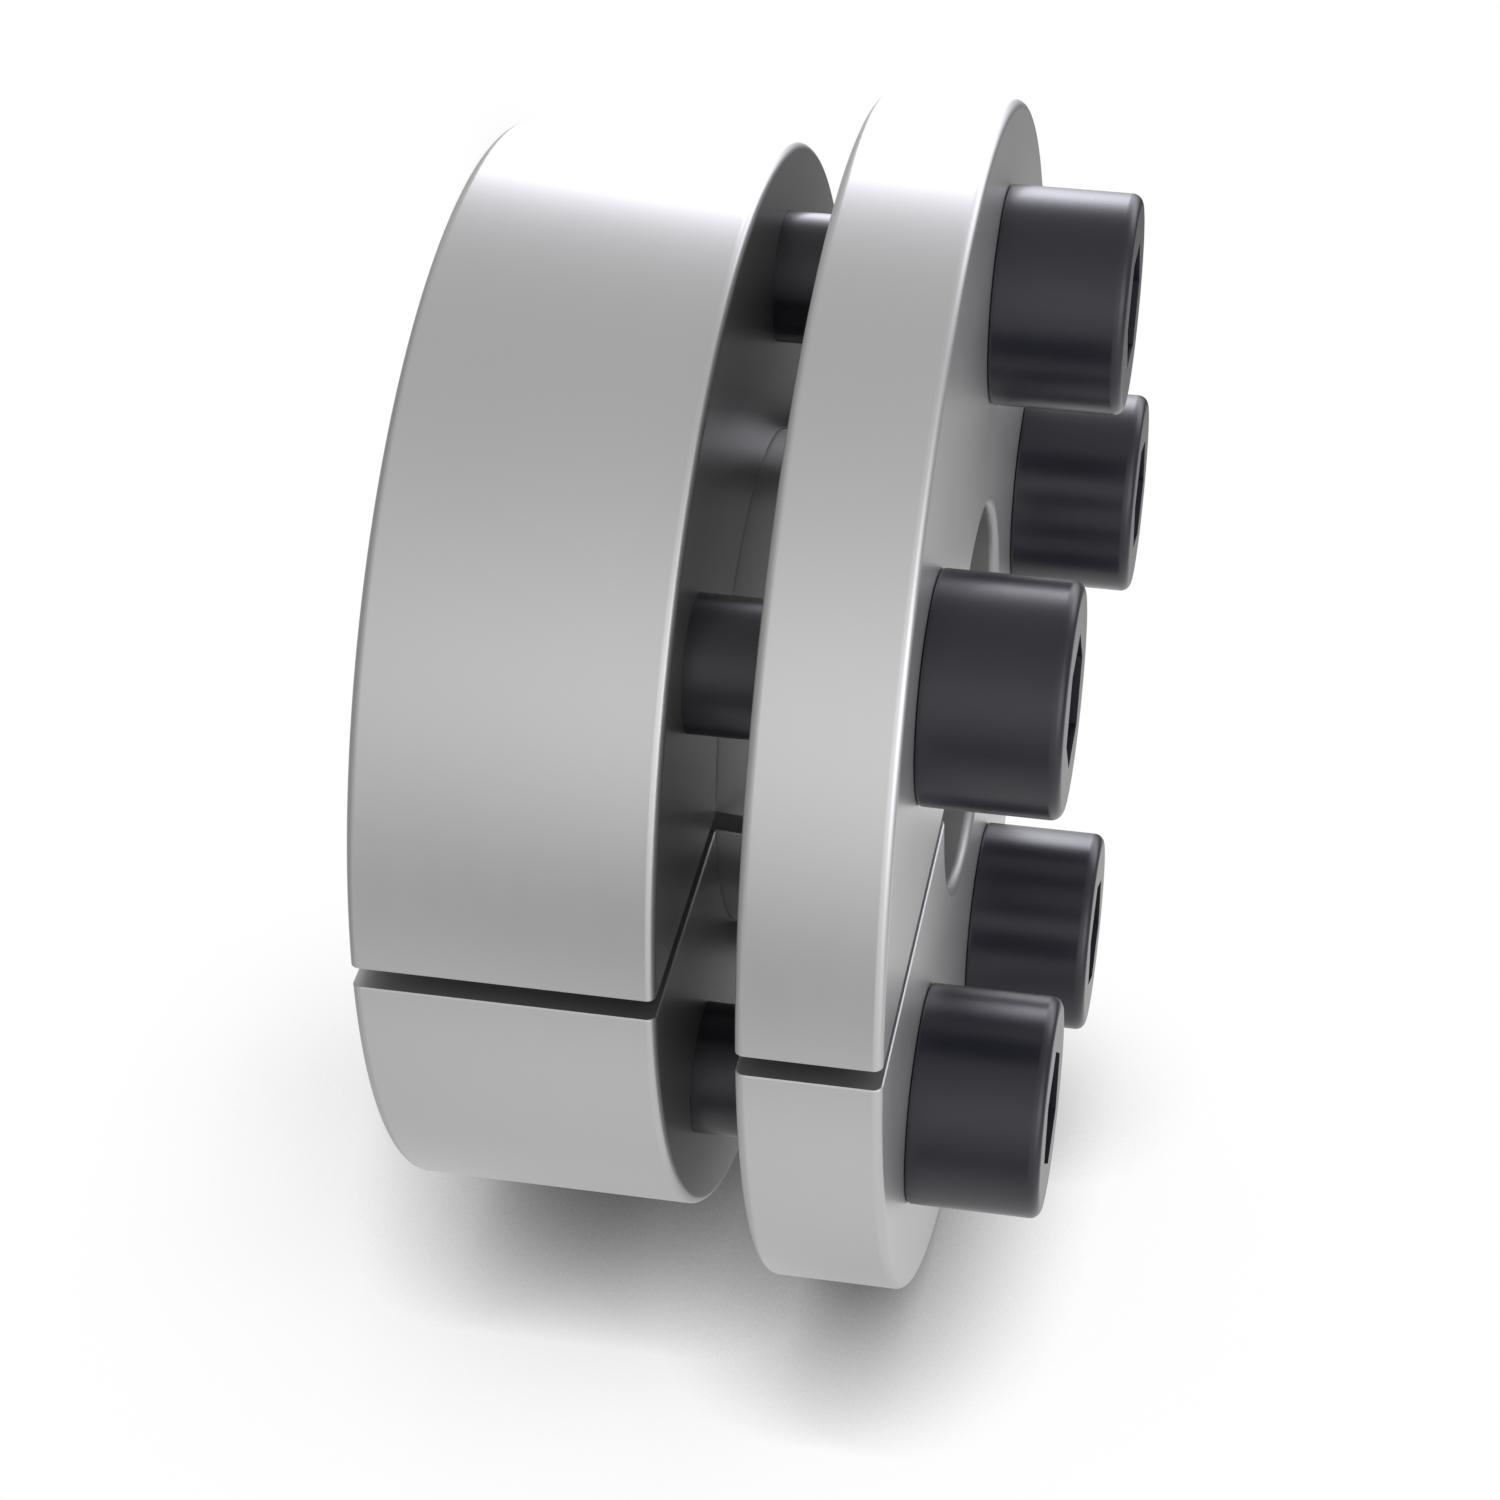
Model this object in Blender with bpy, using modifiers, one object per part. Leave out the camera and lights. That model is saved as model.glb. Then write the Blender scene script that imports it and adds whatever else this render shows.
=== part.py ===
"""Keyless shaft locking assembly, standing on the back face of its outer ring.

The bore's axis is Z. The origin is on that axis, in the plane of the outer ring's back face,
and the flange with its five screw heads points up. The slit of both rings faces -Y.
Every length is in metres.
"""
import math

import bmesh
import bpy
from mathutils import Matrix

# Outer ring: plain outside, tapered bore, threaded holes right through
ring_radius = 0.0250
ring_length = 0.01315
ring_edge_radius = 0.0004
ring_back_chamfer = 0.0004

# Inner ring: flange and sleeve turned from one bar; the flange stands proud of the outer ring
bore_radius = 0.0090
bore_mouth_radius = 0.00045
bore_back_chamfer = 0.0004
flange_overhang = 0.0027
flange_thickness = 0.00615
flange_edge_radius = 0.0004
sleeve_recess = 0.0005
sleeve_end_chamfer = 0.0003
root_radius = 0.0005

# Cone that both rings share: the sleeve's wall at the outer ring's front face, and how much
# radius the cone gains for each length towards the flange
sleeve_wall = 0.00265
cone_slope_share = 0.1
seat_clearance = 0.00015

# Open way that the screws still have to draw the outer ring along the cone
draw_gap = 0.00385

# Slit through the whole wall of both rings
slit_width = 0.0010

# Socket head cap screws, placed in the outer ring's wall by a share of its thickness
screw_count = 5
screw_place_share = 0.553
screw_radius = 0.0030
screw_length = 0.0200
head_radius = 0.0050
head_height = 0.0060
head_edge_radius = 0.0005
head_foot_chamfer = 0.0002
tip_chamfer = 0.0006
socket_across_flats = 0.0050
socket_depth = 0.0030
socket_drill_share = 0.92
socket_point_angle = math.radians(120)

# Holes that the screws pass through and screw into; the countersink is at the back face only
clearance_hole_gap = 0.0003
threaded_hole_gap = 0.0001
threaded_hole_chamfer = 0.0004

# How far a cutter runs past the face it opens
cutter_overrun = 0.0010

# Fineness of the round shapes
ring_segments = 80
hole_segments = 32
screw_segments = 32
arc_steps = 3
sharp_angle = math.radians(28)
merge_distance = 0.000001

# Places worked out from the sizes above
flange_radius = ring_radius + flange_overhang
cone_angle = math.atan(cone_slope_share)
cone_radius_at_ring_front = bore_radius + sleeve_wall
ring_front_bore = cone_radius_at_ring_front + seat_clearance
screw_circle_radius = ring_front_bore + (ring_radius - ring_front_bore) * screw_place_share
flange_back_height = ring_length + draw_gap
flange_front_height = flange_back_height + flange_thickness
slit_angle = math.radians(-90)
screw_step = 2 * math.pi / screw_count
first_screw_angle = slit_angle + screw_step / 2


def cone_radius(height):
    """Radius of the sleeve's cone at a height above the ring's back face."""
    return cone_radius_at_ring_front + (height - ring_length) * cone_slope_share


def arc(centre_radius, centre_height, radius, start_deg, end_deg):
    """Points of a round edge in the turning plane, from one angle to the other."""
    points = []
    for step in range(arc_steps + 1):
        angle = math.radians(start_deg + (end_deg - start_deg) * step / arc_steps)
        across = centre_radius + radius * math.cos(angle)
        along = centre_height + radius * math.sin(angle)
        points.append((across, along))
    return points


def clear_scene():
    for old in list(bpy.data.objects):
        bpy.data.objects.remove(old, do_unlink=True)


def new_collection(name):
    collection = bpy.data.collections.new(name)
    bpy.context.scene.collection.children.link(collection)
    return collection


def metal(name, colour, roughness):
    material = bpy.data.materials.new(name)
    material.use_nodes = True
    shader = material.node_tree.nodes["Principled BSDF"]
    shader.inputs["Base Color"].default_value = (*colour, 1.0)
    shader.inputs["Metallic"].default_value = 1.0
    shader.inputs["Roughness"].default_value = roughness
    return material


def turned(name, outline, segments, closed, collection):
    """Turn an outline of (radius, height) points about Z.

    The outline runs down its outer side. A closed one is a ring; an open one starts and ends
    on the axis.
    """
    mesh = bpy.data.meshes.new(name)
    points = [(across, 0, along) for across, along in outline]
    edges = [(index, index + 1) for index in range(len(points) - 1)]
    if closed:
        edges.append((len(points) - 1, 0))
    mesh.from_pydata(points, edges, [])
    piece = bpy.data.objects.new(name, mesh)
    collection.objects.link(piece)
    screw = piece.modifiers.new("Turn", "SCREW")
    screw.axis = "Z"
    screw.steps = segments
    screw.render_steps = segments
    screw.use_merge_vertices = True
    screw.merge_threshold = merge_distance
    return piece


def solid_cutter(name, mesh_builder, collection):
    """Make a cutter from a bmesh primitive; it shows as a wire and never renders."""
    mesh = bpy.data.meshes.new(name)
    shape = bmesh.new()
    mesh_builder(shape)
    shape.to_mesh(mesh)
    shape.free()
    cutter = bpy.data.objects.new(name, mesh)
    collection.objects.link(cutter)
    mark_cutter(cutter)
    return cutter


def mark_cutter(cutter):
    cutter.hide_render = True
    cutter.display_type = "WIRE"


def cut(piece, cutter, name):
    boolean = piece.modifiers.new(name, "BOOLEAN")
    boolean.operation = "DIFFERENCE"
    boolean.solver = "EXACT"
    boolean.object = cutter


def screw_angles():
    return [first_screw_angle + index * screw_step for index in range(screw_count)]


def on_screw_circle(angle, height):
    across = screw_circle_radius * math.cos(angle)
    away = screw_circle_radius * math.sin(angle)
    return (across, away, height)


def slit_cutter(name, low, high, collection):
    """A thin box from the axis outwards, long enough for the widest ring."""
    reach = flange_radius + cutter_overrun
    height = high - low + 2 * cutter_overrun

    def build(shape):
        size = Matrix.Diagonal((reach, slit_width, height, 1))
        place = Matrix.Translation((reach / 2, 0, (low + high) / 2))
        bmesh.ops.create_cube(shape, size=1.0, matrix=place @ size)

    cutter = solid_cutter(name, build, collection)
    cutter.rotation_euler.z = slit_angle
    return cutter


def clearance_hole_cutters(collection):
    """Plain drills through the flange, one for each screw."""
    radius = screw_radius + clearance_hole_gap
    depth = flange_thickness + 2 * cutter_overrun
    middle = (flange_back_height + flange_front_height) / 2

    def build(shape):
        bmesh.ops.create_cone(shape, cap_ends=True, segments=hole_segments,
                              radius1=radius, radius2=radius, depth=depth)

    cutters = []
    for number, angle in enumerate(screw_angles(), start=1):
        cutter = solid_cutter(f"flange_drill_{number}", build, collection)
        cutter.location = on_screw_circle(angle, middle)
        cutters.append(cutter)
    return cutters


def threaded_hole_cutters(collection):
    """Drills with a countersink at the back face of the outer ring."""
    radius = screw_radius + threaded_hole_gap
    wide = radius + threaded_hole_chamfer + cutter_overrun
    low = -cutter_overrun
    high = ring_length + cutter_overrun
    outline = [
        (0, high),
        (radius, high),
        (radius, threaded_hole_chamfer),
        (wide, low),
        (0, low),
    ]
    cutters = []
    for number, angle in enumerate(screw_angles(), start=1):
        cutter = turned(f"ring_drill_{number}", outline, hole_segments, False, collection)
        cutter.location = on_screw_circle(angle, 0)
        mark_cutter(cutter)
        cutters.append(cutter)
    return cutters


def outer_ring(parts, cutters, material):
    """Thick ring with the tapered bore that rides on the sleeve's cone."""
    edge = ring_edge_radius
    chamfer = ring_back_chamfer
    chamfer_bore = cone_radius(chamfer) + seat_clearance
    back_bore = chamfer_bore + chamfer
    outline = [(ring_front_bore, ring_length)]
    outline += reversed(arc(ring_radius - edge, ring_length - edge, edge, 0, 90))
    outline += reversed(arc(ring_radius - edge, edge, edge, -90, 0))
    outline += [(back_bore, 0), (chamfer_bore, chamfer)]
    ring = turned("outer_ring", outline, ring_segments, True, parts)
    for cutter in threaded_hole_cutters(cutters):
        cut(ring, cutter, "Threaded hole")
    cut(ring, slit_cutter("ring_slit", 0, ring_length, cutters), "Slit")
    ring.data.materials.append(material)
    return ring


def flanged_inner_ring(parts, cutters, material):
    """Flange, cone and shaft bore in one turned piece."""
    top = flange_front_height
    back = flange_back_height
    edge = flange_edge_radius
    mouth = bore_mouth_radius
    end = sleeve_recess
    end_outside = cone_radius(end + sleeve_end_chamfer)
    root_low = back - root_radius
    root_out = cone_radius(root_low) + root_radius / math.cos(cone_angle)
    outline = arc(bore_radius + mouth, top - mouth, mouth, 180, 90)
    outline += reversed(arc(flange_radius - edge, top - edge, edge, 0, 90))
    outline += reversed(arc(flange_radius - edge, back + edge, edge, -90, 0))
    outline += arc(root_out, root_low, root_radius, 90, 180 - math.degrees(cone_angle))
    outline += [
        (end_outside, end + sleeve_end_chamfer),
        (end_outside - sleeve_end_chamfer, end),
        (bore_radius + bore_back_chamfer, end),
        (bore_radius, end + bore_back_chamfer),
    ]
    ring = turned("flanged_inner_ring", outline, ring_segments, True, parts)
    for cutter in clearance_hole_cutters(cutters):
        cut(ring, cutter, "Clearance hole")
    cut(ring, slit_cutter("sleeve_slit", 0, top, cutters), "Slit")
    ring.data.materials.append(material)
    return ring


def socket_cutter(collection):
    """Hexagonal broach with the point that the drill before it left at the bottom."""
    corner_radius = socket_across_flats / 2 / math.cos(math.pi / 6)
    depth = socket_depth + cutter_overrun

    def build(shape):
        place = Matrix.Translation((0, 0, head_height - socket_depth + depth / 2))
        bmesh.ops.create_cone(shape, cap_ends=True, segments=6, radius1=corner_radius,
                              radius2=corner_radius, depth=depth, matrix=place)

    return solid_cutter("socket_broach", build, collection)


def socket_drill(collection):
    radius = socket_across_flats / 2 * socket_drill_share
    high = head_height + cutter_overrun
    floor = head_height - socket_depth
    point = floor - radius / math.tan(socket_point_angle / 2)
    outline = [
        (0, high),
        (radius, high),
        (radius, floor),
        (0, point),
    ]
    drill = turned("socket_drill", outline, screw_segments, False, collection)
    mark_cutter(drill)
    return drill


def cap_screw(parts, cutters, material):
    """One screw with its head's seat at height zero; the others share its mesh."""
    edge = head_edge_radius
    outline = [(0, head_height)]
    outline += reversed(arc(head_radius - edge, head_height - edge, edge, 0, 90))
    outline += [
        (head_radius, head_foot_chamfer),
        (head_radius - head_foot_chamfer, 0),
        (screw_radius, 0),
        (screw_radius, tip_chamfer - screw_length),
        (screw_radius - tip_chamfer, -screw_length),
        (0, -screw_length),
    ]
    screw = turned("screw_1", outline, screw_segments, False, parts)
    cut(screw, socket_cutter(cutters), "Socket")
    cut(screw, socket_drill(cutters), "Socket point")
    screw.data.materials.append(material)
    return screw


def fix_mesh(piece):
    """Turn an object's modifiers into its mesh and shade its round faces smooth."""
    bpy.context.view_layer.update()
    evaluated = piece.evaluated_get(bpy.context.evaluated_depsgraph_get())
    mesh = bpy.data.meshes.new_from_object(evaluated)
    piece.modifiers.clear()
    piece.data = mesh
    mesh.name = piece.name
    mesh.shade_smooth()
    mesh.set_sharp_from_angle(angle=sharp_angle)


def place_screws(first, parts):
    """Seat the screws on the flange, each turned with the pattern."""
    for number, angle in enumerate(screw_angles(), start=1):
        screw = first
        if number > 1:
            screw = bpy.data.objects.new(f"screw_{number}", first.data)
            parts.objects.link(screw)
        screw.location = on_screw_circle(angle, flange_front_height)
        screw.rotation_euler.z = angle


def main():
    clear_scene()
    parts = new_collection("shaft_locking_assembly")
    cutters = new_collection("cutters")
    steel = metal("satin_steel", (0.56, 0.57, 0.58), 0.32)
    black = metal("black_oxide", (0.035, 0.035, 0.04), 0.38)
    ring = outer_ring(parts, cutters, steel)
    inner = flanged_inner_ring(parts, cutters, steel)
    screw = cap_screw(parts, cutters, black)
    for piece in (ring, inner, screw):
        fix_mesh(piece)
    place_screws(screw, parts)


main()
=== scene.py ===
# %% [markdown]
# # A shaft locking assembly, dressed for its picture
#
# The real object clamps a hub onto a plain shaft. Two slit rings share a cone: five black cap
# screws pull the thick outer ring along the sleeve of the flanged inner ring, the sleeve closes
# on the shaft and the outer ring opens in the hub. The imported CAD model is the fixed frame of
# this scene, and nothing in it is moved. Each of its seven solids gets a finer twin here, with
# soft edges, real threads and its own finish, and then the twins are lit and photographed.

# %% Load the imported model and print its boxes
import math

import bmesh
import bpy
from mathutils import Matrix, Vector


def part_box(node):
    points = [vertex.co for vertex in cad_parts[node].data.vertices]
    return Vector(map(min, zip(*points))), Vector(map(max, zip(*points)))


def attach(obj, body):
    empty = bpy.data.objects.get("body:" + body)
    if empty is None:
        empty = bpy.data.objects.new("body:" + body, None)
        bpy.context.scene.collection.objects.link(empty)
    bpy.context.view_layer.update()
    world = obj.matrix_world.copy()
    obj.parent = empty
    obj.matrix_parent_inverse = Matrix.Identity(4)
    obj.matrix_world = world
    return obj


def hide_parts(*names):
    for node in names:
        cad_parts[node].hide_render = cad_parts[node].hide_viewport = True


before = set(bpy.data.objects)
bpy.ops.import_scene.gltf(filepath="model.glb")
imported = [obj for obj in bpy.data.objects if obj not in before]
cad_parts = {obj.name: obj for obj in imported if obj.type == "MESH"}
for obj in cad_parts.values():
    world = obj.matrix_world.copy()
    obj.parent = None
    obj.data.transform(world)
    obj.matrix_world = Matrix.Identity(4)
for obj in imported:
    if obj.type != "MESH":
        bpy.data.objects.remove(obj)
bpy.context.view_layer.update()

for node in sorted(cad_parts):
    low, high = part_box(node)
    print(node, "from", [round(v * 1000, 2) for v in low],
          "to", [round(v * 1000, 2) for v in high])

# %% [markdown]
# ## The camera
#
# The photograph was taken with the assembly lying on its rim, so the bore's axis runs to the
# right of the picture. The part stands on its end in the frame, so here the camera is rolled by
# 96 degrees instead, and the picture comes out the same. A camera can be placed by hand until it
# looks right, but here every edge of the two rings was fitted to the photograph first, which
# leaves a place, a direction, a roll and a lens to type in. The small shift stands for the crop.

# %% Set up the camera
camera_place = Vector((-0.096738, -0.135816, 0.038605))
camera_round = math.radians(-35.433)
camera_down = math.radians(8.505)
camera_roll = math.radians(95.775)

ahead = Vector((-math.sin(camera_round) * math.cos(camera_down),
                math.cos(camera_round) * math.cos(camera_down),
                -math.sin(camera_down)))
level_right = Vector((math.cos(camera_round), math.sin(camera_round), 0))
level_up = level_right.cross(ahead)
right = level_right * math.cos(camera_roll) + level_up * math.sin(camera_roll)
up = right.cross(ahead)

camera_data = bpy.data.cameras.new("camera")
camera_data.sensor_width = 36
camera_data.lens = 85.50
camera_data.shift_x = -0.01606
camera_data.shift_y = -0.05091
camera_data.clip_start = 0.01
camera = bpy.data.objects.new("camera", camera_data)
bpy.context.scene.collection.objects.link(camera)
turn = Matrix((right, up, -ahead)).transposed()
camera.matrix_world = Matrix.Translation(camera_place) @ turn.to_4x4()
bpy.context.scene.camera = camera
print("camera looks along", [round(v, 3) for v in ahead])

# %% [markdown]
# ## The sizes of the two rings
#
# These are the sizes that the CAD solids were made from, in metres, because a twin has to lie
# exactly where its solid lies. Heights are measured from the outer ring's back face. The cone
# gains one tenth of its height in radius, and both rings follow it. Only the gap on the cone is
# finer here: the solids keep it wide enough to measure, while the drawn-up cones of the
# photograph touch, so the twins close it to two hundredths of a millimetre.

# %% Write down the sizes
ring_radius = 0.0250
ring_length = 0.01315
flange_radius = 0.0277
flange_back = 0.0170
flange_front = 0.02315
bore_radius = 0.0090
sleeve_end = 0.0005
cone_at_ring_front = 0.01165
cone_slope = 0.1
seat_gap = 0.00002
slit_width = 0.0010
edge_radius = 0.0004

screw_count = 5
screw_circle = 0.01910
screw_radius = 0.0030
screw_length = 0.0200
head_radius = 0.0050
head_height = 0.0060
socket_flats = 0.0050
socket_depth = 0.0030


def cone_radius(height):
    """Radius of the shared cone at a height above the outer ring's back face."""
    return cone_at_ring_front + (height - ring_length) * cone_slope


print("cone from", round(cone_radius(sleeve_end) * 2000, 2), "to",
      round(cone_radius(flange_back) * 2000, 2), "mm across")

# %% [markdown]
# ## Edges that catch the light
#
# A turned part never has a knife edge: the tool leaves a small round, and in the photograph that
# round is the bright line along each rim. A bevel modifier could add it afterwards, but the part
# is turned anyway, so it is easier to round the outline before it is turned. Next to each round
# the outline gets one extra point a few hundredths of a millimetre away. It keeps the smooth
# shading of the round from spreading over the flat beside it.

# %% Round the corners of an outline
round_steps = 6
hold = 0.00004


def rounded(corners):
    """Outline points from corners of (across, along, radius); a radius of 0 stays sharp."""
    points = []
    count = len(corners)
    for index, (across, along, radius) in enumerate(corners):
        here = Vector((across, along))
        if radius == 0:
            points.append(here)
            continue
        before = Vector(corners[(index - 1) % count][:2]) - here
        after = Vector(corners[(index + 1) % count][:2]) - here
        before.normalize()
        after.normalize()
        half = before.angle(after) / 2
        reach = radius / math.tan(half)
        centre = here + (before + after).normalized() * (radius / math.sin(half))
        start = here + before * reach - centre
        finish = here + after * reach - centre
        points.append(here + before * (reach + hold))
        sweep = start.angle_signed(finish)
        for step in range(round_steps + 1):
            turned_by = Matrix.Rotation(-sweep * step / round_steps, 2)
            points.append(centre + turned_by @ start)
        points.append(here + after * (reach + hold))
    return points


print("a square with one round corner has",
      len(rounded([(0, 0, 0), (1, 0, 0), (1, 1, 0.1), (0, 1, 0)])), "points")

# %% [markdown]
# ## Turning a ring that is slit
#
# Each ring has one slit through its whole wall, cut with a thin saw, so the two walls of the slit
# are flat and parallel. The ring could be turned whole and cut with a boolean, but it is cleaner
# to turn the outline only from one wall of the slit round to the other. Every point of the
# outline starts half a slit to one side of the middle plane and ends half a slit to the other
# side, whatever its radius, and the last few hundredths break the sharp edge of the cut.

# %% Sweep an outline round from wall to wall
ring_steps = 288
saw_edge = 0.00006


def inset(points, distance):
    """The same closed outline moved into the material by a small distance."""
    count = len(points)
    area = sum(points[i].cross(points[(i + 1) % count]) for i in range(count))
    side = 1 if area > 0 else -1
    moved = []
    for index, here in enumerate(points):
        entering = (here - points[index - 1]).normalized()
        leaving = (points[(index + 1) % count] - here).normalized()
        inwards = (entering + leaving).orthogonal().normalized() * side
        moved.append(here + inwards * distance)
    return moved


def slit_ring(name, outline):
    """A closed ring about Z with its slit towards -Y."""
    shape = bmesh.new()
    half = slit_width / 2
    small = inset(outline, saw_edge)
    sections = []
    for points, aside in ((small, half), (outline, half + saw_edge),
                          (outline, half + saw_edge + hold)):
        sections.append([(p.x, math.asin(aside / p.x), p.y) for p in points])
    first = sections[-1]
    for step in range(1, ring_steps):
        share = step / ring_steps
        sections.append([(r, a + (2 * math.pi - 2 * a) * share, h) for r, a, h in first])
    for near in reversed(sections[:3]):
        sections.append([(r, 2 * math.pi - a, h) for r, a, h in near])
    loops = []
    for section in sections:
        loops.append([shape.verts.new((r * math.sin(a), -r * math.cos(a), h))
                      for r, a, h in section])
    count = len(outline)
    for near, far in zip(loops, loops[1:]):
        for index in range(count):
            other = (index + 1) % count
            shape.faces.new((near[index], near[other], far[other], far[index]))
    shape.faces.new(loops[0])
    shape.faces.new(loops[-1])
    bmesh.ops.recalc_face_normals(shape, faces=shape.faces)
    mesh = bpy.data.meshes.new(name)
    shape.to_mesh(mesh)
    shape.free()
    piece = bpy.data.objects.new(name, mesh)
    bpy.context.scene.collection.objects.link(piece)
    print(name, "turned with", len(mesh.polygons), "faces")
    return piece


# %% [markdown]
# ## Drilling
#
# The holes are the one thing that turning can't make, so they are cut with booleans, as a drill
# would. The cutter is a turned shape as well, and it reaches half a millimetre past the faces
# that it goes through. When the cuts are done they are made part of the mesh, faces that meet at
# more than 32 degrees get a sharp edge between them, and the rest is shaded smooth.

# %% Turn a solid about its own axis
round_hole_steps = 96
same_place = 0.0000002


def turned_solid(name, rows, steps=round_hole_steps, lead=0):
    """A closed solid from rows of (radius, height), or of functions of the turn that give them.

    The functions make rows that climb, and a row meets the row that is lead rows above it
    when the turn closes.
    """
    shape = bmesh.new()
    loops = []
    for row in rows:
        loop = []
        for step in range(steps):
            angle = 2 * math.pi * step / steps
            radius, height = row(angle) if callable(row) else row
            loop.append(shape.verts.new(
                (radius * math.cos(angle), radius * math.sin(angle), height)))
        loops.append(loop)
    climbing = [number for number, row in enumerate(rows) if callable(row)]
    closing = [min(number + lead, climbing[-1]) if number in climbing else number
               for number in range(len(rows))]
    for number in range(len(rows) - 1):
        near, far = loops[number], loops[number + 1]
        for index in range(steps - 1):
            shape.faces.new((near[index], near[index + 1], far[index + 1], far[index]))
        corners = [near[-1], loops[closing[number]][0], loops[closing[number + 1]][0], far[-1]]
        corners = [c for place, c in enumerate(corners) if c not in corners[:place]]
        if len(corners) > 2:
            shape.faces.new(corners)
    shape.faces.new(loops[0])
    shape.faces.new(loops[-1])
    bmesh.ops.remove_doubles(shape, verts=shape.verts, dist=same_place)
    bmesh.ops.dissolve_degenerate(shape, edges=shape.edges, dist=same_place)
    bmesh.ops.recalc_face_normals(shape, faces=shape.faces)
    mesh = bpy.data.meshes.new(name)
    shape.to_mesh(mesh)
    shape.free()
    solid = bpy.data.objects.new(name, mesh)
    bpy.context.scene.collection.objects.link(solid)
    print(name, "turned with", len(mesh.polygons), "faces")
    return solid


# %% Cut with it and finish a mesh
past_face = 0.0005
sharp_from = math.radians(32)


def cut(piece, cutter):
    """Cut one solid out of a piece and throw the cutter away."""
    boolean = piece.modifiers.new(cutter.name, "BOOLEAN")
    boolean.operation = "DIFFERENCE"
    boolean.solver = "EXACT"
    boolean.object = cutter
    bpy.context.view_layer.update()
    solid = piece.evaluated_get(bpy.context.evaluated_depsgraph_get())
    mesh = bpy.data.meshes.new_from_object(solid)
    piece.modifiers.clear()
    piece.data = mesh
    bpy.data.objects.remove(cutter)


def finish_mesh(piece):
    """Smooth shading with sharp edges where the faces turn a corner."""
    mesh = piece.data
    mesh.name = piece.name
    mesh.shade_smooth()
    mesh.set_sharp_from_angle(angle=sharp_from)
    print(piece.name, "has", len(mesh.polygons), "faces")


# %% [markdown]
# The holes of both rings and the five screws share one list of places, so it is written once.
# The screws are evenly spaced, and the slit lies halfway between the last one and the first.

# %% Where the screws stand
first_screw = -54
screws_apart = 72


def screw_angle(number):
    """Where screw 1 to 5 stands round the ring."""
    return math.radians(first_screw + screws_apart * (number - 1))


def on_circle(number, height):
    """The place of screw 1 to 5 on the screw circle, at a height."""
    angle = screw_angle(number)
    return Vector((screw_circle * math.cos(angle), screw_circle * math.sin(angle), height))


print("screws at", [round(math.degrees(screw_angle(n))) for n in range(1, screw_count + 1)],
      "degrees")


# %% [markdown]
# ## One thread, two sides
#
# From behind, the ring shows five threaded holes, and the screws end inside them. A thread is a
# ridge that climbs by one pitch in each turn. It could be a bump in the material, but its crests
# break the outline of the hole, so it is real geometry: rows of points that climb with the turn,
# with the radius going up and down once a pitch. The tap that cuts the ring and the screw that
# sits in it use the same rows, two hundredths of a millimetre apart, so they mesh and never
# touch. A row that would climb past an end stays on it, at the radius that the thread has there,
# and when the turn closes, each row meets the one that is a whole pitch above it. Heights on a
# screw are measured from the seat of its head, and the thread stops inside the ring.

# %% Rows of a thread
pitch = 0.0010
thread_depth = 0.00054
thread_gap = 0.00002
thread_stop = -0.0103
thread_profile = ((0.0, 0.0), (0.06, 0.0), (0.44, 1.0), (0.56, 1.0), (0.94, 0.0))


def thread_radius(turns, crest):
    """The radius of the thread after a number of turns from the foot of one profile."""
    share = turns - math.floor(turns)
    profile = thread_profile + ((1.0, 0.0),)
    for (start, low_depth), (end, high_depth) in zip(profile, profile[1:]):
        if share <= end:
            break
    depth = low_depth + (high_depth - low_depth) * (share - start) / (end - start)
    return crest - depth * thread_depth


def thread_rows(low, high, crest, trim):
    """Rows from low to high; trim(radius, height) cuts the thread to a cone at its end."""
    rows = []
    start = math.floor(low / pitch) - 1
    stop = math.ceil(high / pitch) + 1
    for turn_number in range(start, stop):
        for share, depth in thread_profile:
            def row(angle, share=share, depth=depth, turn_number=turn_number):
                turns = angle / (2 * math.pi)
                height = (turn_number + share + turns) * pitch
                if low < height < high:
                    return trim(crest - depth * thread_depth, height), height
                height = min(max(height, low), high)
                return trim(thread_radius(height / pitch - turns, crest), height), height
            rows.append(row)
    return rows


print("thread rows on one screw:",
      len(thread_rows(-screw_length, thread_stop, screw_radius, max)))

# %% [markdown]
# ## The outer ring
#
# A thick ring with a plain outside, the tapered bore, the slit and five tapped holes. The taps
# run right through, with a countersink at the back face and a plain mouth at the front, where
# the photograph shows the screws going straight into the face.

# %% Make the outer ring
ring_bore_front = cone_radius(ring_length) + seat_gap
ring_bore_back = cone_radius(0) + seat_gap
front_break = 0.0001
back_chamfer = 0.0004
chamfer_break = 0.00008
clamping_ring = slit_ring("clamping_ring", rounded([
    (ring_bore_front, ring_length, front_break),
    (ring_radius, ring_length, edge_radius),
    (ring_radius, 0, edge_radius),
    (ring_bore_back + back_chamfer, 0, chamfer_break),
    (ring_bore_back + back_chamfer * cone_slope, back_chamfer, chamfer_break),
]))

# %% [markdown]
# The taps are turned from the thread's rows, measured from the seat of the screw heads as the
# screws are, so that thread and screw stay in step. One pass with each makes the whole hole: the
# countersink, the thread and the plain mouth.

# %% Tap the outer ring
tap_radius = screw_radius + thread_gap
mouth_from = 0.0124
sink = 0.0004


def from_seat(height):
    """A height in the frame, as measured from the seat of the screw heads."""
    return height - flange_front


def countersunk(radius, height):
    """The thread starts out of a 45 degree cone at the back face."""
    return max(radius, tap_radius + from_seat(sink) - height)


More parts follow.
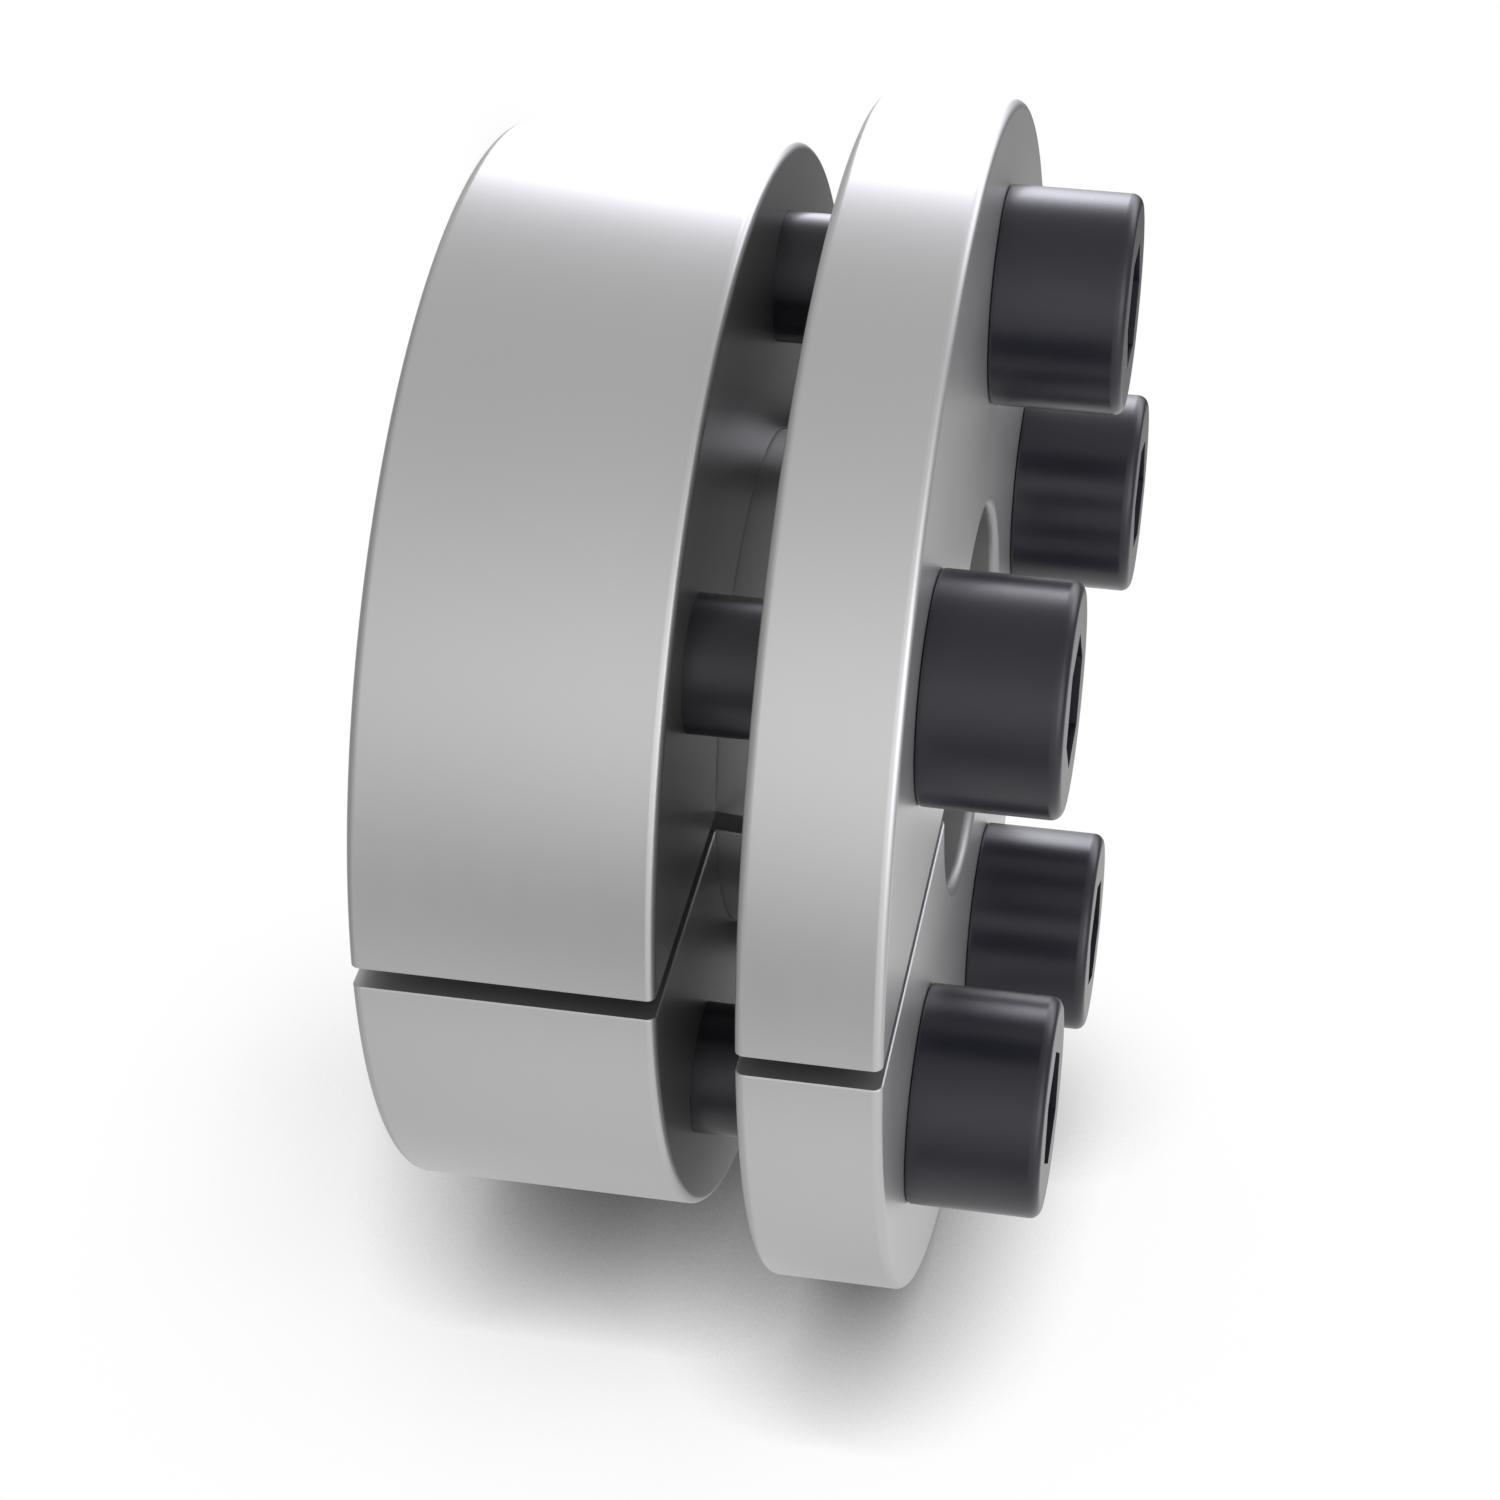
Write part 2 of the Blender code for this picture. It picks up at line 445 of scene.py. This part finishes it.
tap_rows = [(tap_radius + sink + past_face, from_seat(-past_face)),
            (tap_radius, from_seat(sink))]
tap_rows += thread_rows(from_seat(sink), from_seat(mouth_from), tap_radius, countersunk)
tap_rows += [(tap_radius, from_seat(mouth_from)),
             (tap_radius, from_seat(ring_length + past_face))]
for number in range(1, screw_count + 1):
    tap = turned_solid(f"tap_{number}", tap_rows, lead=len(thread_profile))
    tap.matrix_world = Matrix.Translation(on_circle(number, flange_front)) @ Matrix.Rotation(
        screw_angle(number), 4, "Z")
    cut(clamping_ring, tap)
finish_mesh(clamping_ring)

# %% [markdown]
# ## The flanged inner ring
#
# Flange and sleeve are one turned piece. The flange stands proud of the outer ring all round and
# stops the hub, the sleeve is the cone's inner half, and the bore has a well rounded mouth at the
# flange, which shows as the bright crescent in the photograph. A small fillet joins the sleeve
# to the flange, and the clearance holes are plain.

# %% Make the flanged inner ring
mouth_round = 0.00045
neck_fillet = 0.0005
sleeve_round = 0.0003
bore_end_round = 0.0004
flange_and_sleeve = slit_ring("flange_and_sleeve", rounded([
    (bore_radius, flange_front, mouth_round),
    (flange_radius, flange_front, edge_radius),
    (flange_radius, flange_back, edge_radius),
    (cone_radius(flange_back), flange_back, neck_fillet),
    (cone_radius(sleeve_end), sleeve_end, sleeve_round),
    (bore_radius, sleeve_end, bore_end_round),
]))

hole_play = 0.0003
hole_chamfer = 0.0001
clear = screw_radius + hole_play
widest = clear + past_face + hole_chamfer
for number in range(1, screw_count + 1):
    drill = turned_solid(f"drill_{number}", [
        (widest, flange_back - past_face),
        (clear, flange_back + hole_chamfer),
        (clear, flange_front - hole_chamfer),
        (widest, flange_front + past_face),
    ])
    drill.location = on_circle(number, 0)
    cut(flange_and_sleeve, drill)
finish_mesh(flange_and_sleeve)

# %% [markdown]
# ## The cap screws
#
# Each screw is turned in one go from its tip to the top of its head: a short point, the thread
# inside the ring, a plain shank across the gap, as in the photograph, and a smooth head with a
# round top edge.

# %% Turn one screw
point_length = 0.0006
tip_inset = 0.00075
neck_round = 0.00012
seat_round = 0.0002
head_round = 0.0005


def pointed(radius, height):
    """The tip is cut to 45 degrees."""
    return min(radius, screw_radius - max(0.0, point_length - (height + screw_length)))


screw_rows = [(screw_radius - tip_inset, -screw_length)]
screw_rows += thread_rows(-screw_length, thread_stop, screw_radius, pointed)
screw_rows += [(screw_radius, thread_stop), (screw_radius, thread_stop + hold)]
head_outline = rounded([
    (screw_radius, 0, neck_round),
    (head_radius, 0, seat_round),
    (head_radius, head_height, head_round),
    (0, head_height, 0),
])[:-1]
screw_rows += [(point.x, point.y) for point in head_outline]
screw_mesh = turned_solid("cap_screw_1", screw_rows, lead=len(thread_profile))
print("one screw is turned from", len(screw_rows), "rows")

# %% [markdown]
# The hexagon socket is broached, so it is cut with a six sided cutter, turned to the angle at
# which the photograph shows the sockets. The drill that goes before a broach is almost as wide as
# the hexagon and leaves its shallow cone at the bottom.

# %% Broach the socket
socket_turn = math.radians(-18)
drill_share = 0.92
drill_point = math.radians(60)
drill_centre = 0.00001
past_head = 0.001

socket_floor = head_height - socket_depth
above_head = head_height + past_head
corner = socket_flats / 2 / math.cos(math.pi / 6)
broach = turned_solid("broach", [(corner, socket_floor), (corner, above_head)], steps=6)
broach.rotation_euler.z = socket_turn
cut(screw_mesh, broach)

drill_radius = socket_flats / 2 * drill_share
drill_cone = drill_radius / math.tan(drill_point)
point_drill = turned_solid("point_drill", [
    (drill_centre, socket_floor - drill_cone),
    (drill_radius, socket_floor),
    (drill_radius, above_head),
])
cut(screw_mesh, point_drill)
finish_mesh(screw_mesh)

# %% [markdown]
# The five screws share one mesh, each turned by its own angle about the bore's axis, so that all
# five threads stay in step with the five taps.

# %% Set five screws
screws = []
for number in range(1, screw_count + 1):
    screw = screw_mesh
    if number > 1:
        screw = bpy.data.objects.new(f"cap_screw_{number}", screw_mesh.data)
        bpy.context.scene.collection.objects.link(screw)
    screw.matrix_world = Matrix.Translation(on_circle(number, flange_front)) @ Matrix.Rotation(
        screw_angle(number), 4, "Z")
    screws.append(screw)
print("screws set:", [screw.name for screw in screws])

# %% [markdown]
# ## Shared effects
#
# Metal that has been machined is never one even value: it carries fine marks from the tool, its
# shine changes a little where it was handled, and it has a fine grain under a strong light. Each
# effect is a small node group with named inputs, so the steel and the black screws use the same
# one with their own amounts. A group gives only values, and the shader itself stays in the
# material.

# %% Helpers for node trees
def shader_group(name, inputs, outputs):
    """A new group with its sockets, and its input and output nodes."""
    group = bpy.data.node_groups.new(name, "ShaderNodeTree")
    for label, value in inputs:
        socket = group.interface.new_socket(name=label, in_out="INPUT",
                                            socket_type="NodeSocketFloat")
        socket.default_value = value
    for label in outputs:
        group.interface.new_socket(name=label, in_out="OUTPUT", socket_type="NodeSocketFloat")
    return group, group.nodes.new("NodeGroupInput"), group.nodes.new("NodeGroupOutput")


def maths(tree, operation, first, second=None, third=None):
    """One Math node; numbers are typed in and sockets are joined."""
    node = tree.nodes.new("ShaderNodeMath")
    node.operation = operation
    for index, value in enumerate((first, second, third)):
        if value is None:
            continue
        if isinstance(value, (int, float)):
            node.inputs[index].default_value = value
        else:
            tree.links.new(value, node.inputs[index])
    return node.outputs[0]


def noise(tree, vector, scale, detail, roughness=0.5):
    """One Noise Texture; its scale is a number or a socket."""
    node = tree.nodes.new("ShaderNodeTexNoise")
    tree.links.new(vector, node.inputs["Vector"])
    if isinstance(scale, (int, float)):
        node.inputs["Scale"].default_value = scale
    else:
        tree.links.new(scale, node.inputs["Scale"])
    node.inputs["Detail"].default_value = detail
    node.inputs["Roughness"].default_value = roughness
    return node.outputs["Fac"]


# %% [markdown]
# Handling leaves soft patches a centimetre wide, and the grain under them is a few hundredths of
# a millimetre. Both change the roughness, the patches change the tone by a few hundredths too,
# and the grain goes out by itself for a bump.

# %% The first group: handling
tone_swing = 0.06

handling, given, made = shader_group(
    "handling",
    [("Patch Scale", 90.0), ("Grain Scale", 5200.0), ("Base Roughness", 0.3),
     ("Patch Amount", 0.05), ("Grain Amount", 0.04)],
    ["Roughness", "Tone", "Grain"])
place = handling.nodes.new("ShaderNodeTexCoord").outputs["Object"]
patches = noise(handling, place, given.outputs["Patch Scale"], 4.0)
patches = maths(handling, "SUBTRACT", patches, 0.5)
grain = noise(handling, place, given.outputs["Grain Scale"], 3.0, 0.6)
grain = maths(handling, "SUBTRACT", grain, 0.5)
rough = maths(handling, "MULTIPLY_ADD", patches, given.outputs["Patch Amount"],
              given.outputs["Base Roughness"])
rough = maths(handling, "MULTIPLY_ADD", grain, given.outputs["Grain Amount"], rough)
handling.links.new(rough, made.inputs["Roughness"])
handling.links.new(maths(handling, "MULTIPLY_ADD", patches, tone_swing, 1.0),
                   made.inputs["Tone"])
handling.links.new(grain, made.inputs["Grain"])
print("group", handling.name, "gives", [s.name for s in made.inputs if s.name])

# %% [markdown]
# The second effect is what a lathe leaves. On the rim the tool draws rings that change only
# along the axis, and on a face it draws circles that change only with the radius. One noise does
# both when it is fed the distance from the axis and the height, and hardly any of the angle. An
# image of scratches could do the same on one face, but it would need unwrapping and would show
# its seam at the edges.

# %% The second group: turning marks
broad_share = 0.5

turning, given, made = shader_group(
    "turning marks",
    [("Marks per Metre", 9000.0), ("Broad Marks per Metre", 1500.0), ("Waviness", 6.0)],
    ["Height", "Mask"])
place = turning.nodes.new("ShaderNodeTexCoord").outputs["Object"]
split = turning.nodes.new("ShaderNodeSeparateXYZ")
turning.links.new(place, split.inputs[0])
x, y, z = split.outputs
across = maths(turning, "SQRT", maths(turning, "ADD", maths(turning, "MULTIPLY", x, x),
                                      maths(turning, "MULTIPLY", y, y)))
around = maths(turning, "ARCTAN2", y, x)


def marked(scale):
    """A noise that runs round the axis with hardly a change."""
    joined = turning.nodes.new("ShaderNodeCombineXYZ")
    turning.links.new(maths(turning, "MULTIPLY", across, scale), joined.inputs[0])
    turning.links.new(maths(turning, "MULTIPLY", z, scale), joined.inputs[1])
    turning.links.new(maths(turning, "MULTIPLY", around, given.outputs["Waviness"]),
                      joined.inputs[2])
    return noise(turning, joined.outputs[0], 1.0, 3.0, 0.55)


fine = marked(given.outputs["Marks per Metre"])
broad = marked(given.outputs["Broad Marks per Metre"])
height = maths(turning, "MULTIPLY_ADD", broad, broad_share, fine)
turning.links.new(height, made.inputs["Height"])
turning.links.new(maths(turning, "SUBTRACT", broad, 0.5), made.inputs["Mask"])
print("group", turning.name, "gives", [s.name for s in made.inputs if s.name])

# %% [markdown]
# ## Satin steel
#
# Both rings are bare steel, turned and then ground to a soft sheen. Metal has no colour of its
# own under its shine, so almost everything seen on it is reflected: the base colour only says
# how much comes back. The roughness spreads the studio's lights into the wide soft bands of the
# photograph, the turning marks break them up very slightly, and the bump is kept to a fraction
# of a thousandth of a millimetre.

# %% Helpers for materials
def new_material(name):
    """A material with its tree and its Principled BSDF."""
    material = bpy.data.materials.new(name)
    material.use_nodes = True
    return material, material.node_tree, material.node_tree.nodes["Principled BSDF"]


def placed(tree, group, **values):
    """Put a group in a material with its own values."""
    node = tree.nodes.new("ShaderNodeGroup")
    node.node_tree = group
    for label, value in values.items():
        node.inputs[label.replace("_", " ")].default_value = value
    return node


def coloured(tree, colour, tone):
    """A colour made a little lighter or darker by a tone that changes over the surface."""
    node = tree.nodes.new("ShaderNodeVectorMath")
    node.operation = "SCALE"
    node.inputs[0].default_value = colour
    tree.links.new(tone, node.inputs["Scale"])
    return node.outputs[0]


def bumped(tree, shader, height, distance, strength=1.0):
    """Small relief on the shader's normal, from a height that changes over the surface."""
    node = tree.nodes.new("ShaderNodeBump")
    node.inputs["Distance"].default_value = distance
    node.inputs["Strength"].default_value = strength
    tree.links.new(height, node.inputs["Height"])
    tree.links.new(node.outputs["Normal"], shader.inputs["Normal"])


# %% The satin steel
steel_grey = (0.55, 0.55, 0.55)
mark_roughness = 0.05

satin_steel, tree, shader = new_material("satin_steel")
wear = placed(tree, handling, Patch_Scale=70.0, Base_Roughness=0.34, Patch_Amount=0.03,
              Grain_Amount=0.03)
marks = placed(tree, turning, Marks_per_Metre=9000.0)
shader.inputs["Metallic"].default_value = 0.85
rough = maths(tree, "MULTIPLY_ADD", marks.outputs["Mask"], mark_roughness,
              wear.outputs["Roughness"])
tree.links.new(rough, shader.inputs["Roughness"])
tree.links.new(coloured(tree, steel_grey, wear.outputs["Tone"]), shader.inputs["Base Color"])
bumped(tree, shader, marks.outputs["Height"], distance=0.00000006)
print("steel nodes:", len(tree.nodes))

# %% [markdown]
# ## Steel that faces inwards
#
# The faces that look at each other across the gap, the bore and the walls of the slits are cut
# and not ground, which gives them a rougher grain and less shine than the outsides. They also lie
# in shade, and here that shade is painted: their base colour is a darker grey than the outsides'.
# One material with a mask could do both, but these are whole faces with sharp borders, and a
# second material on those faces is simpler to read.

# %% The inner steel
# Painted shade: the darker grey of the faces in the gap, the bore and the slits.
painted_shade_grey = (0.36, 0.36, 0.36)

inner_steel, tree, shader = new_material("inner_steel")
wear = placed(tree, handling, Patch_Scale=120.0, Base_Roughness=0.40, Patch_Amount=0.05,
              Grain_Amount=0.05)
shader.inputs["Metallic"].default_value = 0.85
tree.links.new(wear.outputs["Roughness"], shader.inputs["Roughness"])
tree.links.new(coloured(tree, painted_shade_grey, wear.outputs["Tone"]), shader.inputs["Base Color"])
bumped(tree, shader, wear.outputs["Grain"], distance=0.000001, strength=0.5)
print("inner steel nodes:", len(tree.nodes))

# %% [markdown]
# ## Black oxide
#
# The screws are dark all through their thin skin, with a soft oily sheen and a faint blue cast.
# This finish behaves like a dark solid under a clear gloss more than like a mirror, so it is not
# metallic in the shader: seen face on it returns a twentieth of the light, and at a grazing
# angle, as on the ends of the heads, much more.

# %% The black finish
oxide_black = (0.0094, 0.0090, 0.0165)

black_oxide, tree, shader = new_material("black_oxide")
wear = placed(tree, handling, Patch_Scale=260.0, Base_Roughness=0.30, Patch_Amount=0.08,
              Grain_Amount=0.06)
shader.inputs["Metallic"].default_value = 0.0
shader.inputs["IOR"].default_value = 1.5
tree.links.new(wear.outputs["Roughness"], shader.inputs["Roughness"])
tree.links.new(coloured(tree, oxide_black, wear.outputs["Tone"]), shader.inputs["Base Color"])
bumped(tree, shader, wear.outputs["Grain"], distance=0.000002, strength=0.6)
print("black nodes:", len(tree.nodes))

# %% [markdown]
# ## Put every piece in the frame
#
# Each twin stands for one solid of the CAD model and moves with the model's only body. Both
# rings carry two materials, the second with painted shade, and each face of theirs takes one by
# where it lies.

# %% Ride, replace and finish
on_face = 0.00001
in_bore = bore_radius + bore_end_round
wall_slant = 0.99


def facing_inwards(piece, face):
    """The faces with painted shade: slit walls, the bore and the two faces across the gap."""
    middle = face.center
    in_slit = abs(middle.x) < slit_width / 2 + on_face and middle.y < 0
    if in_slit and abs(face.normal.x) > wall_slant:
        return True
    if piece is clamping_ring:
        # The slit's broken edge on the front face gets painted shade over its highlight too.
        at_slit = abs(middle.x) < slit_width / 2 + saw_edge and middle.y < 0
        return middle.z > ring_length - (saw_edge if at_slit else on_face)
    return middle.xy.length < in_bore or abs(middle.z - flange_back) < on_face


for piece, node in ((clamping_ring, "outer_ring"), (flange_and_sleeve, "flanged_inner_ring")):
    piece.data.materials.clear()
    piece.data.materials.append(satin_steel)
    piece.data.materials.append(inner_steel)
    for face in piece.data.polygons:
        face.material_index = int(facing_inwards(piece, face))
    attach(piece, "root")
    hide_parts(node)
    print(piece.name, "has inner steel on",
          sum(face.material_index for face in piece.data.polygons), "faces")
screw_mesh.data.materials.clear()
screw_mesh.data.materials.append(black_oxide)
for number, screw in enumerate(screws, start=1):
    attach(screw, "root")
    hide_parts(f"screw_{number}")
print("screws dressed:", len(screws))

# %% [markdown]
# ## The studio round it
#
# Smooth metal is a picture of its surroundings, so the studio is a room of soft tones and there
# are no lamps. Lamps could be set up one by one, but a room lights every side of the object, and
# its tones can be read off the round rims, which mirror them in order.
#
# The photograph's up is the frame's -X. A band of tones runs round the bore's axis: a pale floor
# below, a dark gap at the horizon, a soft panel in front, a grey ceiling and one large bright
# panel behind and above, which makes the white tops of both rims. One ramp over the angle about
# the axis holds the tones that the rims and the heads mirror, a second one those on the side of
# the flange's face, and a third the end of the room that this face looks at. The room gets
# greyer towards the other end, and that draws the thin line of the back edges. The tones low
# behind the part are brighter than the rims show them, because the floor further down shades
# them again. To the camera itself the room is plain white.

# %% The room's tones
left_tones = (
    (-90, 0.75), (-60, 0.94), (-46, 0.92), (-36, 0.54), (-26, 0.02), (-14, 0.15), (10, 1.22),
    (32, 1.28), (60, 0.70), (92, 0.62), (124, 0.62), (142, 0.9), (153, 5.0), (162, 8.5),
    (172, 6.0), (183, 2.4), (193, 1.20), (203, 0.82), (212, 0.80), (226, 1.35), (248, 0.84),
    (270, 0.66),
)
right_tones = (
    (-90, 0.84), (-45, 0.86), (-15, 0.80), (10, 1.20), (35, 1.60), (60, 1.0), (90, 0.66),
    (120, 0.58), (140, 0.8), (151, 2.2), (164, 2.6), (176, 2.2), (187, 1.2), (198, 0.10),
    (209, 0.04), (217, 0.45), (223, 1.03), (231, 0.90), (250, 0.76), (270, 0.80),
)
end_tones = (
    (-90, 0.85), (-40, 0.90), (-5, 1.50), (35, 3.40), (75, 1.50), (105, 0.95), (140, 0.45),
    (200, 0.30), (240, 0.40), (270, 0.80),
)
far_left_tone = 0.38
left_end_tone = 0.62
brightest = 12.0
print("tones in the three ramps:", len(left_tones), len(right_tones), len(end_tones))

# %% [markdown]
# A world shader gets the direction it is looked up in. Its angle about the bore's axis picks the
# place on a ramp. The borders of the white tops in the photograph lean a little along the axis,
# so the angle is shifted by how far the direction points along the axis, within two limits.

# %% Where a direction lies in the room
lean = 100.0
lean_offset = 0.13
lean_least = -0.2
lean_most = 0.06

world = bpy.data.worlds.new("room")
bpy.context.scene.world = world
world.use_nodes = True
tree = world.node_tree
tree.nodes.clear()
heading = tree.nodes.new("ShaderNodeTexCoord").outputs["Generated"]
split = tree.nodes.new("ShaderNodeSeparateXYZ")
tree.links.new(heading, split.inputs[0])
x, y, z = split.outputs
angle = maths(tree, "ARCTAN2", y, maths(tree, "MULTIPLY", x, -1))
share = maths(tree, "MULTIPLY_ADD", angle, 1 / (2 * math.pi), 0.5)
leaning = maths(tree, "MAXIMUM", maths(tree, "ADD", z, lean_offset), lean_least)
leaning = maths(tree, "MINIMUM", leaning, lean_most)
share = maths(tree, "MULTIPLY_ADD", leaning, lean / 360, share)
print("the lean shifts the bands by", lean * lean_least, "to", lean * lean_most, "degrees")

# %% [markdown]
# A ramp's colours end at one, so the tones are divided by the brightest and the background's
# strength brings them back. The bright panels are a little blue, as the whites of the photograph
# are next to its greys.

# %% Ramps and borders
blue_from = 1.8
blue_cast = 1.10


def tone_ramp(tones):
    """A smooth ramp of greys round the axis, from (degrees, tone) pairs."""
    ramp = tree.nodes.new("ShaderNodeValToRGB")
    ramp.color_ramp.interpolation = "B_SPLINE"
    tree.links.new(share, ramp.inputs[0])
    stops = ramp.color_ramp.elements
    stops.remove(stops[1])
    for index, (degrees, tone) in enumerate(tones):
        at = (degrees + 90) / 360
        stop = stops[0] if index == 0 else stops.new(at)
        stop.position = at
        value = tone / brightest
        stop.color = (value, value, value * (blue_cast if tone > blue_from else 1.0), 1)
    print("tones", len(stops), "from", min(t for a, t in tones), "to", max(t for a, t in tones))
    return ramp.outputs["Color"]


def between(low, high):
    """0 below one height along the axis, 1 above the other, and smooth between them."""
    node = tree.nodes.new("ShaderNodeMapRange")
    node.interpolation_type = "SMOOTHSTEP"
    node.inputs["From Min"].default_value = low
    node.inputs["From Max"].default_value = high
    tree.links.new(z, node.inputs["Value"])
    return node.outputs["Result"]


def mixed(factor, first, second):
    """From the first tone or colour to the second."""
    node = tree.nodes.new("ShaderNodeMix")
    node.data_type = "RGBA"
    tree.links.new(factor, node.inputs["Factor"])
    for value, socket in ((first, node.inputs["A"]), (second, node.inputs["B"])):
        if isinstance(value, float):
            socket.default_value = (value / brightest, value / brightest, value / brightest, 1)
        else:
            tree.links.new(value, socket)
    return node.outputs["Result"]


# %% The world
left_to_right = (-0.08, 0.02)
right_to_end = (0.60, 0.78)
left_end_to_left = (-0.33, -0.15)
far_left_to_left_end = (-0.85, -0.55)

sides = mixed(between(*left_to_right), tone_ramp(left_tones), tone_ramp(right_tones))
sides = mixed(between(*right_to_end), sides, tone_ramp(end_tones))
left_end = mixed(between(*far_left_to_left_end), far_left_tone, left_end_tone)
sides = mixed(between(*left_end_to_left), left_end, sides)
background = tree.nodes.new("ShaderNodeBackground")
tree.links.new(sides, background.inputs["Color"])
background.inputs["Strength"].default_value = brightest
white = tree.nodes.new("ShaderNodeBackground")
white.inputs["Color"].default_value = (1, 1, 1, 1)
white.inputs["Strength"].default_value = 1.0
choose = tree.nodes.new("ShaderNodeMixShader")
seen = tree.nodes.new("ShaderNodeLightPath")
tree.links.new(seen.outputs["Is Camera Ray"], choose.inputs[0])
tree.links.new(background.outputs[0], choose.inputs[1])
tree.links.new(white.outputs[0], choose.inputs[2])
output = tree.nodes.new("ShaderNodeOutputWorld")
tree.links.new(choose.outputs[0], output.inputs[0])
print("world nodes:", len(tree.nodes))

# %% [markdown]
# ## The floor
#
# In the photograph the assembly lies on a white floor under its rim, and only a soft shadow
# shows that there is one. That floor is the plane which touches the flange on the frame's +X
# side. A lamp over a real floor could throw the shadow, but both would change the light on the
# metal too. So the floor is a clear sheet that dims the white room behind it: an ambient
# occlusion node measures how much of the room each of its points sees past the object, once for
# what is near and once for what is further off. The camera sees the sheet from the object's side
# only, and the metal mirrors a part of its shade, which is what keeps the lower end of the gap
# dark in the photograph.
#
# A second sheet lies under the end on which the part stands in the frame, for the views in which
# it stands upright. Only the camera sees that one. Its shade falls behind the part, and each
# sheet's shade fades out before it would reach a place where the photograph has none.

# %% A plane that the camera sees
floor_reach = 0.6


def floor_plane(name, corners, mirrored=False):
    """A one-sided stage plane from its corners, for the camera and, if mirrored, the metal."""
    mesh = bpy.data.meshes.new(name)
    mesh.from_pydata(corners, [], [(0, 1, 2, 3)])
    plane = bpy.data.objects.new(name, mesh)
    bpy.context.scene.collection.objects.link(plane)
    plane.visible_glossy = mirrored
    for seen_by in ("visible_diffuse", "visible_transmission", "visible_shadow",
                    "visible_volume_scatter"):
        setattr(plane, seen_by, False)
    print(name, "faces", tuple(round(v, 2) for v in mesh.polygons[0].normal))
    return plane


# %% What shades a point of the floor
shade_samples = 8


def openness(tree, distance, towards=None):
    """How much of the room a point of the floor sees past what is nearer than a distance."""
    node = tree.nodes.new("ShaderNodeAmbientOcclusion")
    node.samples = shade_samples
    node.inputs["Distance"].default_value = distance
    if towards:
        lamp_side = tree.nodes.new("ShaderNodeCombineXYZ")
        for socket, value in zip(lamp_side.inputs, Vector(towards).normalized()):
            socket.default_value = value
        tree.links.new(lamp_side.outputs[0], node.inputs["Normal"])
    return node.outputs["AO"]


def fade(tree, along, start, end):
    """One up to the start of a stretch along a direction, and zero after its end."""
    place = tree.nodes.new("ShaderNodeNewGeometry").outputs["Position"]
    dot = tree.nodes.new("ShaderNodeVectorMath")
    dot.operation = "DOT_PRODUCT"
    tree.links.new(place, dot.inputs[0])
    dot.inputs[1].default_value = along
    stretch = tree.nodes.new("ShaderNodeMapRange")
    stretch.interpolation_type = "SMOOTHSTEP"
    tree.links.new(dot.outputs["Value"], stretch.inputs["Value"])
    for socket, value in (("From Min", start), ("From Max", end), ("To Min", 1.0),
                          ("To Max", 0.0)):
        stretch.inputs[socket].default_value = value
    return stretch.outputs["Result"]


# %% A clear sheet that carries the shade
mirrored_share = 0.6


def floor_material(name, terms, gain, fades):
    """White where the room is open and darker near the object, from (distance, power, towards)."""
    material = bpy.data.materials.new(name)
    material.use_nodes = True
    tree = material.node_tree
    tree.nodes.clear()
    light = None
    for distance, power, towards in terms:
        term = maths(tree, "POWER", openness(tree, distance, towards), power)
        light = term if light is None else maths(tree, "MULTIPLY", light, term)
    light = maths(tree, "MINIMUM", maths(tree, "MULTIPLY", light, gain), 1.0)
    shade = maths(tree, "SUBTRACT", 1.0, light)
    for stretch in fades:
        shade = maths(tree, "MULTIPLY", shade, fade(tree, *stretch))
    mirrored = tree.nodes.new("ShaderNodeLightPath").outputs["Is Glossy Ray"]
    shade = maths(tree, "MULTIPLY", shade,
                  maths(tree, "MULTIPLY_ADD", mirrored, mirrored_share - 1.0, 1.0))
    light = maths(tree, "SUBTRACT", 1.0, shade)
    shaded = tree.nodes.new("ShaderNodeBsdfTransparent")
    tree.links.new(light, shaded.inputs["Color"])
    clear = tree.nodes.new("ShaderNodeBsdfTransparent")
    choose = tree.nodes.new("ShaderNodeMixShader")
    facing = tree.nodes.new("ShaderNodeNewGeometry")
    tree.links.new(facing.outputs["Backfacing"], choose.inputs[0])
    tree.links.new(shaded.outputs[0], choose.inputs[1])
    tree.links.new(clear.outputs[0], choose.inputs[2])
    output = tree.nodes.new("ShaderNodeOutputMaterial")
    tree.links.new(choose.outputs[0], output.inputs[0])
    print(name, "nodes:", len(tree.nodes))
    return material


# %% The floor under the rim
floor_gap = 0.00005
side = flange_radius + floor_gap
room_front = (-1, -1, 0.8)
away = (0, 1, 0)

rim_floor = floor_plane("rim_floor", [
    (side, -floor_reach, -floor_reach), (side, -floor_reach, floor_reach),
    (side, floor_reach, floor_reach), (side, floor_reach, -floor_reach)], mirrored=True)
rim_floor.data.materials.append(floor_material(
    "rim_floor_shade", terms=[(0.008, 1.4, None), (0.022, 0.8, room_front)], gain=1.08,
    fades=[(away, -0.004, 0.016)]))

# %% The floor under the end
under = -floor_gap
from_camera = (-1.5, -2.1, 1)
one_side = (-0.813, 0.582, 0)
other_side = (0.813, -0.582, 0)
camera_side = (-0.582, -0.813, 0)

end_floor = floor_plane("end_floor", [
    (-floor_reach, -floor_reach, under), (floor_reach, -floor_reach, under),
    (floor_reach, floor_reach, under), (-floor_reach, floor_reach, under)])
end_floor.data.materials.append(floor_material(
    "end_floor_shade", terms=[(0.012, 1.0, from_camera), (0.030, 0.8, from_camera)], gain=1.04,
    fades=[(one_side, 0.014, 0.026), (other_side, 0.014, 0.026), (camera_side, 0.0, 0.018)]))

# %% [markdown]
# ## Finish
#
# The plain view transform keeps the whites white.

# %% Colour
bpy.context.scene.view_settings.view_transform = "Standard"
bpy.context.scene.view_settings.look = "None"
